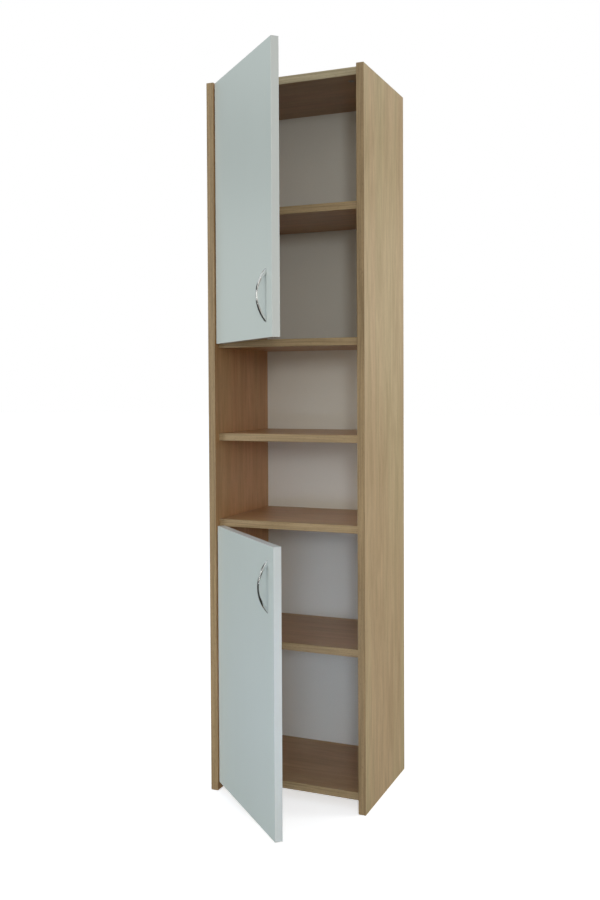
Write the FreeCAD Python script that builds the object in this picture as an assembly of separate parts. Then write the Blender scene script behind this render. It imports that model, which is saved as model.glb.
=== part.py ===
import FreeCAD, Part
import math
import os

from FreeCAD import Vector

# A tall, narrow bathroom cabinet: two cupboards with open niches between them.
# Millimetres. The origin is on the floor in the middle of the cabinet's plan, with
# +X to the right, -Y to the front and +Z up. Both doors are drawn standing open.

os.makedirs("parts", exist_ok=True)

# ---------------------------------------------------------------- driving dimensions

# Overall
HEIGHT = 1720.0
WIDTH = 400.0
DEPTH = 310.0

# Boards
BOARD = 18.0
BACK_PANEL = 3.0
BAND = 0.8

# Heights of the undersides above the floor
BOTTOM_LEVEL = 24.5
LOWER_SHELF_LEVEL = 359.0
LOWER_FIXED_LEVEL = 647.0
NICHE_LEVEL = 857.0
UPPER_FIXED_LEVEL = 1083.0
UPPER_SHELF_LEVEL = 1395.0
TOP_DROP = 2.0

# Doors
DOOR = 18.0
DOOR_GAP = 2.0
DOOR_COVER = 9.0
LOWER_DOOR_COVER = 3.0
LOWER_DOOR_DROP = 3.5
OPEN_ANGLE = 43.7
DOOR_SETBACK = 1.3
BUMPER = 1.0
BUMPER_RADIUS = 4.5
BUMPER_INSET = 14.0

# Loose shelves and their pins
SHELF_END_GAP = 1.0
SHELF_BACK_GAP = 2.0
PIN_RADIUS = 2.5
PIN_DEPTH = 9.0
PIN_COLLAR_RADIUS = 3.6
PIN_COLLAR = 0.7
PIN_TONGUE = 9.0
PIN_TONGUE_WIDTH = 8.0
PIN_TONGUE_THICKNESS = 1.6
PIN_INSET = 50.0

# Cam locks, their bolts and the dowels
CAM_RADIUS = 7.5
CAM_HEIGHT = 12.5
CAM_REACH = 34.0
CAM_INSET = 45.0
CAM_CHANNEL_RADIUS = 3.9
CAM_CROSS = 6.0
CAM_CROSS_WIDTH = 1.4
CAM_CROSS_DEPTH = 2.0
BOLT_THREAD_RADIUS = 2.5
BOLT_THREAD = 11.0
BOLT_SHAFT_RADIUS = 3.0
BOLT_NECK_RADIUS = 2.0
BOLT_NECK = 6.0
BOLT_HEAD_RADIUS = 3.5
BOLT_HEAD = 3.0
BOLT_BORE_RADIUS = 4.0
DOWEL_RADIUS = 4.0
DOWEL_LENGTH = 30.0
DOWEL_IN_SIDE = 10.0
DOWEL_PITCH = 32.0
DOWEL_CHAMFER = 0.8

# Nails of the back panel
NAIL_RADIUS = 0.8
NAIL_LENGTH = 20.0
NAIL_HEAD_RADIUS = 1.8
NAIL_HEAD = 0.8
NAIL_COUNT = 11
NAIL_END = 60.0
NAIL_SPREAD = 100.0
BACK_INSET = 1.0

# Handles
HANDLE_HOLES = 96.0
HANDLE_LENGTH = 114.0
HANDLE_HEIGHT = 22.0
HANDLE_INNER_LENGTH = 88.0
HANDLE_INNER_HEIGHT = 19.8
HANDLE_WIDTH = 8.0
HANDLE_EDGE = 0.7
HANDLE_FROM_EDGE = 36.0
HANDLE_FROM_END = 90.0
HANDLE_SCREW_RADIUS = 2.0
HANDLE_SCREW_BITE = 4.5
HANDLE_SCREW_HEAD_RADIUS = 4.0
HANDLE_SCREW_HEAD = 2.6

# Hinges: places in plan from the side panel's inner face and its front edge, door closed
HINGE_FROM_END = 100.0
ARM_PIN_OUTER = (37.0, 38.0)
ARM_PIN_INNER = (31.0, 19.0)
CUP_PIN_OUTER = (11.6, 16.9)
CUP_PIN_INNER = (14.8, 13.2)
INNER_LINK_EYE = (14.8, 12.5)
OUTER_LINK_RATIO = -0.51
INNER_LINK_RATIO = -0.77
OUTER_LINK_RISE = 14.8
INNER_LINK_RISE = 7.9
INNER_LINK_SLACK = 1.0
LINK_WIDTH = 3.2
LINK_THICKNESS = 3.0
LINK_GAP = 0.4
OUTER_EYE_RADIUS = 2.1
INNER_EYE_RADIUS = 3.3
ARM_EYE_RADIUS = 2.6
HINGE_PIN_RADIUS = 1.0
CUP_RADIUS = 17.5
CUP_WALL = 0.9
CUP_DEPTH = 13.0
CUP_FLOOR = 1.0
CUP_FROM_DOOR_EDGE = 22.5
FLANGE = 0.8
FLANGE_RADIUS = 19.5
EAR_RADIUS = 6.5
EAR_SPREAD = 24.0
EAR_SHIFT = 9.5
CUP_SCREW_RADIUS = 1.75
CUP_SCREW_LENGTH = 12.0
CUP_SCREW_HEAD_RADIUS = 3.4
CUP_SCREW_HEAD = 1.6
RIVET_HEAD_RADIUS = 1.8
RIVET_HEAD = 0.8

# Hinge arms and the plates under them, with places back from the side panel's front
ARM_TONGUE = 6.0
ARM_TONGUE_WIDTH = 4.8
ARM_BEND = (9.0, 42.0)
ARM_ROOT = (10.0, 45.5)
ARM_FRONT = 44.0
ARM_REAR = 74.0
ARM_WALL = 1.2
ARM_SCREW_PLACES = (54.0, 66.0)
ARM_SCREW_RADIUS = 2.2
ARM_SCREW_HEAD_RADIUS = 3.6
ARM_SCREW_HEAD = 2.2
SLOT_WIDTH = 1.0
SLOT_DEPTH = 1.0
PLATE_BASE = 2.0
PLATE_RIB = 7.0
PLATE_RIB_WIDTH = 17.0
PLATE_FRONT = 48.0
PLATE_REAR = 72.0
PLATE_SCREWS_BACK = 60.0
PLATE_WING = 11.0
PLATE_SCREW_PITCH = 32.0
PLATE_SCREW_RADIUS = 1.75
PLATE_SCREW_LENGTH = 13.0
PLATE_SCREW_HEAD_RADIUS = 3.4
PLATE_SCREW_HEAD = 1.8

# Clearances
FIT = 0.05
HOLE_SPARE = 0.5
HANDLE_HOLE_SPARE = 0.25

# ---------------------------------------------------------------- worked-out places

left_face = -WIDTH / 2 + BOARD
right_face = WIDTH / 2 - BOARD
front = -DEPTH / 2
rear = DEPTH / 2
back_front = rear - BACK_PANEL
shelf_front = front + DOOR + DOOR_SETBACK
top_level = HEIGHT - TOP_DROP - BOARD

FIXED_BOARDS = {
    "top_panel": top_level,
    "upper_fixed_shelf": UPPER_FIXED_LEVEL,
    "niche_shelf": NICHE_LEVEL,
    "lower_fixed_shelf": LOWER_FIXED_LEVEL,
    "bottom_panel": BOTTOM_LEVEL,
}
LOOSE_SHELVES = {
    "upper_shelf": UPPER_SHELF_LEVEL,
    "lower_shelf": LOWER_SHELF_LEVEL,
}

# Each door: its lowest and highest point, and the height of its handle's middle
upper_door_bottom = UPPER_FIXED_LEVEL + BOARD - DOOR_COVER
upper_door_top = top_level + BOARD
lower_door_bottom = BOTTOM_LEVEL - LOWER_DOOR_DROP
lower_door_top = LOWER_FIXED_LEVEL + LOWER_DOOR_COVER
DOORS = {
    "upper": (upper_door_bottom, upper_door_top, upper_door_bottom + HANDLE_FROM_END),
    "lower": (lower_door_bottom, lower_door_top, lower_door_top - HANDLE_FROM_END),
}

cam_rows = (shelf_front + CAM_INSET, back_front - CAM_INSET)
dowel_rows = (cam_rows[0] + DOWEL_PITCH, cam_rows[1] - DOWEL_PITCH)
pin_rows = (shelf_front + PIN_INSET, back_front - PIN_INSET)

UP = Vector(0, 0, 1)
nodes = {}


# ---------------------------------------------------------------- small helpers


def block(low, high):
    """A box between two opposite corners."""
    size = [high[i] - low[i] for i in range(3)]
    return Part.makeBox(*size, Vector(*low))


def rod(start, along, length, radius):
    """A cylinder from a point, along a direction."""
    return Part.makeCylinder(radius, length, Vector(*start), Vector(*along))


def joined(shapes):
    """Several overlapping shapes as one solid."""
    return shapes[0].fuse(shapes[1:]).removeSplitter()


def without(shape, tools):
    """A shape less a list of tools, if there are any."""
    return shape.cut(tools) if tools else shape


def moved(shape, x=0.0, y=0.0, z=0.0):
    copy = shape.copy()
    copy.translate(Vector(x, y, z))
    return copy


def turned(shape, degrees, centre):
    """A copy turned about an upright axis through a point in plan."""
    copy = shape.copy()
    copy.rotate(Vector(centre[0], centre[1], 0), UP, degrees)
    return copy


def keep(name, shapes):
    """Names a sub-part. Like pieces share one name, as separate solids."""
    shapes = shapes if isinstance(shapes, list) else [shapes]
    nodes[name] = shapes[0] if len(shapes) == 1 else Part.makeCompound(shapes)


# ---------------------------------------------------------------- joints of the carcass

# Each fixture is drawn at the left panel's inner face, reaching along +X into a board
# and along -X into the panel, with its axis through the origin. At the right panel it
# is turned half round.


def at_joint(fixture, side, y, z):
    shape = fixture if side == "left" else turned(fixture, 180, (0, 0))
    return moved(shape, left_face if side == "left" else right_face, y, z)


def cam_bolt():
    """A screw-in bolt whose head sits in the cam."""
    neck_start = CAM_REACH - BOLT_NECK
    return joined(
        [
            rod((-BOLT_THREAD, 0, 0), (1, 0, 0), BOLT_THREAD, BOLT_THREAD_RADIUS),
            rod((0, 0, 0), (1, 0, 0), neck_start, BOLT_SHAFT_RADIUS),
            rod((neck_start, 0, 0), (1, 0, 0), BOLT_NECK, BOLT_NECK_RADIUS),
            rod((CAM_REACH - BOLT_HEAD / 2, 0, 0), (1, 0, 0), BOLT_HEAD, BOLT_HEAD_RADIUS),
        ]
    )


def cam_lock():
    """The eccentric that pulls the bolt's head in, with a cross slot in its face."""
    bottom = -BOARD / 2
    body = rod((CAM_REACH, 0, bottom), (0, 0, 1), CAM_HEIGHT, CAM_RADIUS - FIT)
    channel_end = CAM_REACH + BOLT_HEAD / 2 + HOLE_SPARE
    channel = rod((0, 0, 0), (1, 0, 0), channel_end, CAM_CHANNEL_RADIUS)
    half, slot = CAM_CROSS / 2, CAM_CROSS_WIDTH / 2
    slot_top = bottom + CAM_CROSS_DEPTH
    cross = [
        block((CAM_REACH - half, -slot, bottom), (CAM_REACH + half, slot, slot_top)),
        block((CAM_REACH - slot, -half, bottom), (CAM_REACH + slot, half, slot_top)),
    ]
    return without(body, [channel] + cross)


def dowel():
    """A wooden dowel across the joint, with its ends chamfered."""
    shape = rod((-DOWEL_IN_SIDE, 0, 0), (1, 0, 0), DOWEL_LENGTH, DOWEL_RADIUS - FIT)
    rims = [e for e in shape.Edges if e.BoundBox.XLength < FIT and e.Closed]
    return shape.makeChamfer(DOWEL_CHAMFER, rims)


def bores_in_board():
    """What a fixed board loses at one corner: cam seat and bolt bore, then dowel bore."""
    seat = rod(
        (CAM_REACH, 0, -BOARD / 2), (0, 0, 1), CAM_HEIGHT + HOLE_SPARE, CAM_RADIUS
    )
    bolt = rod((0, 0, 0), (1, 0, 0), CAM_REACH, BOLT_BORE_RADIUS)
    dowel_in_board = DOWEL_LENGTH - DOWEL_IN_SIDE + HOLE_SPARE
    return [seat, bolt], rod((0, 0, 0), (1, 0, 0), dowel_in_board, DOWEL_RADIUS)


def bores_in_side():
    """What a side panel loses at one joint: bolt thread, then dowel bore."""
    thread = rod(
        (0, 0, 0), (-1, 0, 0), BOLT_THREAD + HOLE_SPARE, BOLT_THREAD_RADIUS + FIT
    )
    return thread, rod((0, 0, 0), (-1, 0, 0), DOWEL_IN_SIDE + HOLE_SPARE, DOWEL_RADIUS)


def shelf_pin():
    """A pin with a collar and a flat tongue that a loose shelf lies on."""
    plug = rod((-PIN_DEPTH, 0, 0), (1, 0, 0), PIN_DEPTH + PIN_COLLAR, PIN_RADIUS)
    collar = rod((0, 0, 0), (1, 0, 0), PIN_COLLAR, PIN_COLLAR_RADIUS)
    tongue = block(
        (0, -PIN_TONGUE_WIDTH / 2, PIN_RADIUS - PIN_TONGUE_THICKNESS),
        (PIN_TONGUE, PIN_TONGUE_WIDTH / 2, PIN_RADIUS),
    )
    return joined([plug, collar, tongue])


def nail_places():
    """The back panel's nails in plan of its rear face: (x, z) of each."""
    places = []
    pitch = (HEIGHT - 2 * NAIL_END) / (NAIL_COUNT - 1)
    for x in (-WIDTH / 2 + BOARD / 2, WIDTH / 2 - BOARD / 2):
        places += [(x, NAIL_END + i * pitch) for i in range(NAIL_COUNT)]
    for level in FIXED_BOARDS.values():
        places += [(x, level + BOARD / 2) for x in (-NAIL_SPREAD, NAIL_SPREAD)]
    return places


def nail(spare):
    """A flat-headed nail driven in from the rear, or its hole where spare isn't 0."""
    shank = rod((0, rear, 0), (0, -1, 0), NAIL_LENGTH + spare, NAIL_RADIUS + spare)
    head = rod((0, rear, 0), (0, -1, 0), NAIL_HEAD + spare, NAIL_HEAD_RADIUS + spare)
    return joined([shank, head])


nail_holes = [moved(nail(FIT), x=x, z=z) for x, z in nail_places()]


def holes_near(shape, holes):
    """The holes whose boxes reach a shape, so that a cut has no idle tools."""
    box = shape.BoundBox
    return [h for h in holes if h.BoundBox.intersect(box)]


# ---------------------------------------------------------------- carcass


def side_panel(side, extra_holes):
    """One side board with its bores, and the banding of its front and top edges."""
    outer = -WIDTH / 2 if side == "left" else right_face
    low = (outer, front + BAND, 0)
    high = (outer + BOARD, back_front, HEIGHT - BAND)
    board = block(low, high)
    thread, dowel_bore = bores_in_side()
    holes = []
    for level in FIXED_BOARDS.values():
        z = level + BOARD / 2
        holes += [at_joint(thread, side, y, z) for y in cam_rows]
        holes += [at_joint(dowel_bore, side, y, z) for y in dowel_rows]
    pin_bore = rod((0, 0, 0), (-1, 0, 0), PIN_DEPTH + HOLE_SPARE, PIN_RADIUS + FIT)
    for level in LOOSE_SHELVES.values():
        holes += [at_joint(pin_bore, side, y, level - PIN_RADIUS) for y in pin_rows]
    holes += holes_near(board, nail_holes) + extra_holes
    keep(f"{side}_side_panel", without(board, holes))
    front_band = block((outer, front, 0), (outer + BOARD, front + BAND, HEIGHT))
    top_band = block(
        (outer, front + BAND, HEIGHT - BAND), (outer + BOARD, back_front, HEIGHT)
    )
    keep(f"{side}_side_edge_band", [front_band, top_band])


def fixed_board(name, level):
    """A board held between the sides by cams and dowels, with its front banding."""
    board = block(
        (left_face, shelf_front + BAND, level), (right_face, back_front, level + BOARD)
    )
    cam_bores, dowel_bore = bores_in_board()
    z = level + BOARD / 2
    holes = holes_near(board, nail_holes)
    for side in ("left", "right"):
        for bore in cam_bores:
            holes += [at_joint(bore, side, y, z) for y in cam_rows]
        holes += [at_joint(dowel_bore, side, y, z) for y in dowel_rows]
    keep(name, without(board, holes))
    band = block(
        (left_face, shelf_front, level), (right_face, shelf_front + BAND, level + BOARD)
    )
    keep(f"{name}_edge_band", band)


def loose_shelf(name, level):
    """A shelf that lies on four pins."""
    x0, x1 = left_face + SHELF_END_GAP, right_face - SHELF_END_GAP
    y1 = back_front - SHELF_BACK_GAP
    keep(name, block((x0, shelf_front + BAND, level), (x1, y1, level + BOARD)))
    band = block((x0, shelf_front, level), (x1, shelf_front + BAND, level + BOARD))
    keep(f"{name}_edge_band", band)
    pins = [
        at_joint(shelf_pin(), side, y, level - PIN_RADIUS)
        for side in ("left", "right")
        for y in pin_rows
    ]
    keep(f"{name}_pins", pins)


def carcass_fixtures():
    """All cams, bolts, dowels and nails."""
    for name, fixture, rows in (
        ("cam_locks", cam_lock(), cam_rows),
        ("cam_bolts", cam_bolt(), cam_rows),
        ("wooden_dowels", dowel(), dowel_rows),
    ):
        placed = []
        for level in FIXED_BOARDS.values():
            for side in ("left", "right"):
                placed += [at_joint(fixture, side, y, level + BOARD / 2) for y in rows]
        keep(name, placed)
    keep("back_panel_nails", [moved(nail(0.0), x=x, z=z) for x, z in nail_places()])


def back_panel():
    board = block(
        (-WIDTH / 2 + BACK_INSET, back_front, BOTTOM_LEVEL),
        (WIDTH / 2 - BACK_INSET, rear, HEIGHT - TOP_DROP),
    )
    keep("back_panel", without(board, nail_holes))


# ---------------------------------------------------------------- hinges

# Plan places count from the left panel's inner face and its front edge, door closed. A
# hinge is drawn about z = 0 and then raised to its heights. The outer link lies above
# the arm's tongue and the inner link below it, so the links pass each other freely.


def plan(place):
    return left_face + place[0], front + place[1]


def swept(point, centre, degrees):
    """A plan point turned about a centre."""
    a = math.radians(degrees)
    x, y = point[0] - centre[0], point[1] - centre[1]
    return (
        centre[0] + x * math.cos(a) - y * math.sin(a),
        centre[1] + x * math.sin(a) + y * math.cos(a),
    )


arm_outer, arm_inner = plan(ARM_PIN_OUTER), plan(ARM_PIN_INNER)
cup_outer, cup_inner = plan(CUP_PIN_OUTER), plan(CUP_PIN_INNER)
inner_eye = plan(INNER_LINK_EYE)
outer_turn = -OUTER_LINK_RATIO * OPEN_ANGLE
inner_turn = -INNER_LINK_RATIO * OPEN_ANGLE
cup_outer_open = swept(cup_outer, arm_outer, outer_turn)

cup_x = left_face + DOOR_GAP + CUP_FROM_DOOR_EDGE
half_tongue = ARM_TONGUE / 2
link_low = half_tongue + LINK_GAP
link_high = link_low + LINK_THICKNESS
rib_top = left_face + PLATE_BASE + PLATE_RIB
cheek_half = PLATE_RIB_WIDTH / 2 + FIT


def door_opened(shape):
    """A door's piece, drawn with the door closed, carried to the open place."""
    shape = turned(shape, -OPEN_ANGLE, cup_outer)
    return moved(
        shape, cup_outer_open[0] - cup_outer[0], cup_outer_open[1] - cup_outer[1]
    )


def bowed_strip(start, end, rise, width, low, high):
    """A flat strip in plan along an arc that bulges to the left of start to end."""
    a, b = Vector(*start, low), Vector(*end, low)
    along = (b - a).normalize()
    middle = (a + b) / 2 + Vector(-along.y, along.x, 0) * rise
    arc = Part.Arc(a, middle, b).toShape().Curve
    centre, radius = arc.Center, arc.Radius
    edges, corners = [], []
    for r in (radius - width / 2, radius + width / 2):
        points = [centre + (p - centre) * (r / radius) for p in (a, middle, b)]
        edges.append(Part.Arc(*points).toShape())
        corners.append((points[0], points[2]))
    for end_pair in zip(*corners):
        edges.append(Part.makeLine(*end_pair))
    wire = Part.Wire(Part.__sortEdges__(edges))
    return Part.Face(wire).extrude(Vector(0, 0, high - low))


def bar(start, end, width, low, high):
    """A straight flat strip in plan."""
    a, b = Vector(*start, low), Vector(*end, low)
    along = (b - a).normalize()
    aside = Vector(-along.y, along.x, 0) * (width / 2)
    corners = [a + aside, a - aside, b - aside, b + aside, a + aside]
    return Part.Face(Part.makePolygon(corners)).extrude(Vector(0, 0, high - low))


def upright(place, low, high, radius):
    """A cylinder about an upright axis in plan."""
    return rod((*place, low), (0, 0, 1), high - low, radius)


def link(arm_pin, eye, rise, eye_radius, hole_radius, low, high):
    """A curved link: a snug eye on the arm's pin and another on the cup's pin."""
    body = joined(
        [
            bowed_strip(arm_pin, eye, rise, LINK_WIDTH, low, high),
            upright(arm_pin, low, high, ARM_EYE_RADIUS),
            upright(eye, low, high, eye_radius),
        ]
    )
    holes = [
        upright(arm_pin, low, high, HINGE_PIN_RADIUS + FIT),
        upright(eye, low, high, hole_radius),
    ]
    return without(body, holes)


def outer_link():
    shape = link(
        arm_outer,
        cup_outer,
        OUTER_LINK_RISE,
        OUTER_EYE_RADIUS,
        HINGE_PIN_RADIUS + FIT,
        link_low,
        link_high,
    )
    return turned(shape, outer_turn, arm_outer)


def inner_link():
    """Its eye on the cup's pin is wide, so that the pin can wander in it."""
    shape = link(
        arm_inner,
        inner_eye,
        INNER_LINK_RISE,
        INNER_EYE_RADIUS,
        HINGE_PIN_RADIUS + INNER_LINK_SLACK,
        -link_high,
        -link_low,
    )
    return turned(shape, inner_turn, arm_inner)


def hinge_arm():
    """A channel over the plate's rib, with a cranked tongue that carries the pins."""
    x1, outside = rib_top + ARM_WALL, cheek_half + ARM_WALL
    y0, y1 = front + ARM_FRONT, front + ARM_REAR
    pieces = [block((rib_top, y0, -outside), (x1, y1, outside))]
    cheek_low = left_face + PLATE_BASE + HOLE_SPARE
    for z in (cheek_half, -outside):
        pieces.append(block((cheek_low, y0, z), (x1, y1, z + ARM_WALL)))
    pins = [arm_outer, arm_inner]
    route = [plan(ARM_ROOT), plan(ARM_BEND)] + pins
    low, high = -half_tongue, half_tongue
    for a, b in zip(route, route[1:]):
        pieces.append(bar(a, b, ARM_TONGUE_WIDTH, low, high))
    pieces.append(upright(route[1], low, high, ARM_TONGUE_WIDTH / 2))
    pieces += [upright(p, low, high, ARM_EYE_RADIUS) for p in pins]
    holes = [upright(p, low, high, HINGE_PIN_RADIUS + FIT) for p in pins]
    return without(joined(pieces), holes + arm_screw_holes())


def arm_screw_holes():
    start = left_face + PLATE_BASE
    length = PLATE_RIB + ARM_WALL
    return [
        rod((start, front + y, 0), (1, 0, 0), length, ARM_SCREW_RADIUS + FIT)
        for y in ARM_SCREW_PLACES
    ]


def arm_screw():
    """A machine screw through the arm's web into the plate's rib, slotted head."""
    head_low = rib_top + ARM_WALL
    shank_low = left_face + PLATE_BASE + HOLE_SPARE
    shank = rod((shank_low, 0, 0), (1, 0, 0), head_low - shank_low, ARM_SCREW_RADIUS)
    head = rod((head_low, 0, 0), (1, 0, 0), ARM_SCREW_HEAD, ARM_SCREW_HEAD_RADIUS)
    return without(joined([shank, head]), [head_slot(head_low + ARM_SCREW_HEAD)])


def head_slot(face):
    """The driver slot of a screw head whose face looks along +X."""
    r, half = ARM_SCREW_HEAD_RADIUS, SLOT_WIDTH / 2
    return block((face - SLOT_DEPTH, -half, -r), (face, half, r))


def mounting_plate():
    """A wing plate with a rib for the arm and two countersunk holes."""
    y0, y1 = front + PLATE_FRONT, front + PLATE_REAR
    wing_y = front + PLATE_SCREWS_BACK
    foot = block(
        (left_face, y0, -PLATE_RIB_WIDTH / 2),
        (rib_top, y1, PLATE_RIB_WIDTH / 2),
    )
    wings = block(
        (left_face, wing_y - PLATE_WING / 2, -PLATE_SCREW_PITCH / 2),
        (left_face + PLATE_BASE, wing_y + PLATE_WING / 2, PLATE_SCREW_PITCH / 2),
    )
    ends = [
        rod((left_face, wing_y, z), (1, 0, 0), PLATE_BASE, PLATE_WING / 2)
        for z in (-PLATE_SCREW_PITCH / 2, PLATE_SCREW_PITCH / 2)
    ]
    return without(joined([foot, wings] + ends), plate_screws(FIT) + arm_screw_holes())


def plate_screws(spare):
    """The two countersunk wood screws of a plate, or their holes where spare isn't 0."""
    top, y = left_face + PLATE_BASE, front + PLATE_SCREWS_BACK
    inward = (-1, 0, 0)
    screws = []
    for z in (-PLATE_SCREW_PITCH / 2, PLATE_SCREW_PITCH / 2):
        radius, length = PLATE_SCREW_RADIUS + spare, PLATE_SCREW_LENGTH + spare
        shank = rod((top, y, z), inward, length, radius)
        wide, place = PLATE_SCREW_HEAD_RADIUS + spare, Vector(top, y, z)
        head = Part.makeCone(wide, radius, PLATE_SCREW_HEAD, place, Vector(*inward))
        screws.append(joined([shank, head]))
    return screws


def arm_pins():
    """Two rivets fixed in the arm's tongue: up to the outer link, down to the inner."""
    reach = link_high + LINK_GAP
    pins = []
    for place, sign in ((arm_outer, 1), (arm_inner, -1)):
        low, high = sorted((-sign * half_tongue, sign * reach))
        head = sorted((sign * reach, sign * (reach + RIVET_HEAD)))
        pins.append(
            joined(
                [
                    upright(place, low, high, HINGE_PIN_RADIUS),
                    upright(place, *head, RIVET_HEAD_RADIUS),
                ]
            )
        )
    return pins


def cup_pins():
    """Two pins held in the cup's wall, one over the outer link and one under the inner."""
    wall_pins = []
    for place, sign in ((cup_outer, 1), (cup_inner, -1)):
        aside = abs(place[0] - cup_x) + HINGE_PIN_RADIUS
        reach = math.sqrt(CUP_RADIUS**2 - aside**2) - 2 * FIT
        low, high = sorted((sign * link_low, sign * reach))
        wall_pins.append((place, low, high))
    return wall_pins


def hinge_cup():
    """The cup that sits in the door's rear face, with a flange and two screw ears."""
    x, y = cup_x, front + DOOR
    body = rod((x, y, 0), (0, -1, 0), CUP_DEPTH, CUP_RADIUS)
    flange = rod((x, y, 0), (0, 1, 0), FLANGE, FLANGE_RADIUS)
    ear_x = x + EAR_SHIFT
    ears = [
        rod((ear_x, y, z), (0, 1, 0), FLANGE, EAR_RADIUS) for z in (-EAR_SPREAD, EAR_SPREAD)
    ]
    bridge = block(
        (ear_x - EAR_RADIUS, y, -EAR_SPREAD), (ear_x + EAR_RADIUS, y + FLANGE, EAR_SPREAD)
    )
    hollow_depth = FLANGE + CUP_DEPTH - CUP_FLOOR
    tools = [rod((x, y + FLANGE, 0), (0, -1, 0), hollow_depth, CUP_RADIUS - CUP_WALL)]
    tools += [
        rod((ear_x, y, z), (0, 1, 0), FLANGE, CUP_SCREW_RADIUS + FIT)
        for z in (-EAR_SPREAD, EAR_SPREAD)
    ]
    tools += [upright(p, low, high, HINGE_PIN_RADIUS + FIT) for p, low, high in cup_pins()]
    return without(joined([body, flange, bridge] + ears), tools)


def cup_screws():
    """Pan-head screws through the cup's ears into the door."""
    x, y = cup_x + EAR_SHIFT, front + DOOR + FLANGE
    screws = []
    for z in (-EAR_SPREAD, EAR_SPREAD):
        shank = rod((x, y, z), (0, -1, 0), CUP_SCREW_LENGTH, CUP_SCREW_RADIUS)
        head = rod((x, y, z), (0, 1, 0), CUP_SCREW_HEAD, CUP_SCREW_HEAD_RADIUS)
        screws.append(joined([shank, head]))
    return screws


def hinge_bores():
    """What a door loses for one hinge: the cup's seat and its screws' pilot holes."""
    x, y = cup_x, front + DOOR
    bores = [rod((x, y, 0), (0, -1, 0), CUP_DEPTH + HOLE_SPARE, CUP_RADIUS + FIT)]
    depth = CUP_SCREW_LENGTH - FLANGE + HOLE_SPARE
    for z in (-EAR_SPREAD, EAR_SPREAD):
        bores.append(
            rod((x + EAR_SHIFT, y, z), (0, -1, 0), depth, CUP_SCREW_RADIUS + FIT)
        )
    return bores


# ---------------------------------------------------------------- doors

door_width = right_face - left_face - 2 * DOOR_GAP
door_left = left_face + DOOR_GAP
handle_x = door_left + door_width - HANDLE_FROM_EDGE


def bow(length, height):
    """What lies between an upright arc, bulging forwards, and its chord."""
    ends = Vector(0, 0, -length / 2), Vector(0, 0, length / 2)
    arc = Part.Arc(ends[0], Vector(0, -height, 0), ends[1]).toShape()
    face = Part.Face(Part.Wire([arc, Part.makeLine(ends[1], ends[0])]))
    return face.extrude(Vector(HANDLE_WIDTH, 0, 0))


def handle():
    """A bow handle: a strip between two arcs, with flat feet."""
    outer = bow(HANDLE_LENGTH, HANDLE_HEIGHT)
    shape = without(outer, [bow(HANDLE_INNER_LENGTH, HANDLE_INNER_HEIGHT)])
    edges = [
        e for e in shape.Edges if isinstance(e.Curve, Part.Circle) and e.Length > HANDLE_WIDTH
    ]
    shape = moved(shape.makeFillet(HANDLE_EDGE, edges), x=-HANDLE_WIDTH / 2)
    holes = [
        rod((0, 0, z), (0, -1, 0), HANDLE_SCREW_BITE + HOLE_SPARE, HANDLE_SCREW_RADIUS + FIT)
        for z in (-HANDLE_HOLES / 2, HANDLE_HOLES / 2)
    ]
    return moved(without(shape, holes), handle_x, front)


def handle_screws():
    """Machine screws from inside the door into the handle's feet."""
    screws = []
    for z in (-HANDLE_HOLES / 2, HANDLE_HOLES / 2):
        start = (handle_x, front + DOOR, z)
        shank = rod(start, (0, -1, 0), DOOR + HANDLE_SCREW_BITE, HANDLE_SCREW_RADIUS)
        head = rod(start, (0, 1, 0), HANDLE_SCREW_HEAD, HANDLE_SCREW_HEAD_RADIUS)
        screws.append(joined([shank, head]))
    return screws


def bumper(z):
    x = door_left + door_width - BUMPER_INSET
    return rod((x, front + DOOR, z), (0, 1, 0), BUMPER, BUMPER_RADIUS)


def door(name, bottom, top, handle_level, bumper_levels):
    """A door board with its bandings, handle, bumpers and its share of the hinges."""
    levels = hinge_levels(bottom, top)
    x0, x1 = door_left, door_left + door_width
    y0, y1 = front, front + DOOR
    board = block((x0 + BAND, y0, bottom + BAND), (x1 - BAND, y1, top - BAND))
    bands = [
        block((x0, y0, bottom), (x0 + BAND, y1, top)),
        block((x1 - BAND, y0, bottom), (x1, y1, top)),
        block((x0 + BAND, y0, bottom), (x1 - BAND, y1, bottom + BAND)),
        block((x0 + BAND, y0, top - BAND), (x1 - BAND, y1, top)),
    ]
    bores = [moved(b, z=level) for level in levels for b in hinge_bores()]
    for z in (handle_level - HANDLE_HOLES / 2, handle_level + HANDLE_HOLES / 2):
        bores.append(
            rod((handle_x, y1, z), (0, -1, 0), DOOR, HANDLE_SCREW_RADIUS + HANDLE_HOLE_SPARE)
        )
    pieces = {
        "door_board": [without(board, bores)],
        "door_edge_band": bands,
        "handle": [moved(handle(), z=handle_level)],
        "handle_screws": [moved(s, z=handle_level) for s in handle_screws()],
        "door_bumpers": [bumper(z) for z in bumper_levels],
        "hinge_cups": [moved(hinge_cup(), z=level) for level in levels],
        "hinge_cup_screws": [
            moved(s, z=level) for level in levels for s in cup_screws()
        ],
        "hinge_cup_pins": [
            moved(upright(p, low, high, HINGE_PIN_RADIUS), z=level)
            for level in levels
            for p, low, high in cup_pins()
        ],
    }
    for piece, shapes in pieces.items():
        keep(f"{name}_{piece}", [door_opened(s) for s in shapes])
    fixed = {
        "hinge_plates": [mounting_plate()],
        "hinge_plate_screws": plate_screws(0.0),
        "hinge_arms": [hinge_arm()],
        "hinge_arm_screws": [moved(arm_screw(), y=front + y) for y in ARM_SCREW_PLACES],
        "hinge_arm_pins": arm_pins(),
        "hinge_outer_links": [outer_link()],
        "hinge_inner_links": [inner_link()],
    }
    for piece, shapes in fixed.items():
        placed = [moved(s, z=level) for level in levels for s in shapes]
        keep(f"{name}_{piece}", placed)


def hinge_levels(bottom, top):
    return bottom + HINGE_FROM_END, top - HINGE_FROM_END


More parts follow.
